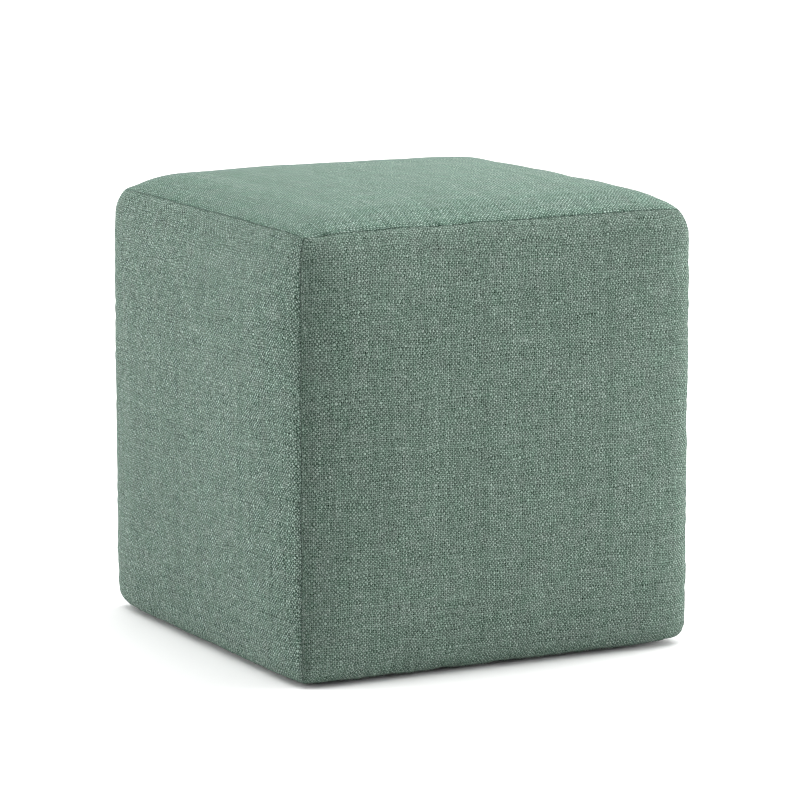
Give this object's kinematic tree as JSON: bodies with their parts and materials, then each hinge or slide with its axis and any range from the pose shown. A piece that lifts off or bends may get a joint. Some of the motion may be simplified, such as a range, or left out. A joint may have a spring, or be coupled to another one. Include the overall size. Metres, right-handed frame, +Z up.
{
  "type": "cube pouf stool",
  "caption": "Soft filled cube pouf stool with crowned cloth panels sewn edge to edge and a flat base.",
  "frame": {"origin": "on the floor, under the middle of the cube", "axes": "+Z up; -Y out of the front panel, -X out of the left panel"},
  "size_m": [0.448, 0.445, 0.445],
  "materials": {
    "cover_cloth": "matt, soft, sage green melange plain weave of light and dark green threads",
    "base_cloth": "matt, dark plain woven base cloth"
  },
  "bodies": {
    "root": {"top_panel": "cover_cloth", "front_panel": "cover_cloth", "right_panel": "cover_cloth", "back_panel": "cover_cloth", "left_panel": "cover_cloth", "base_panel": "base_cloth"}
  },
  "joints": []
}
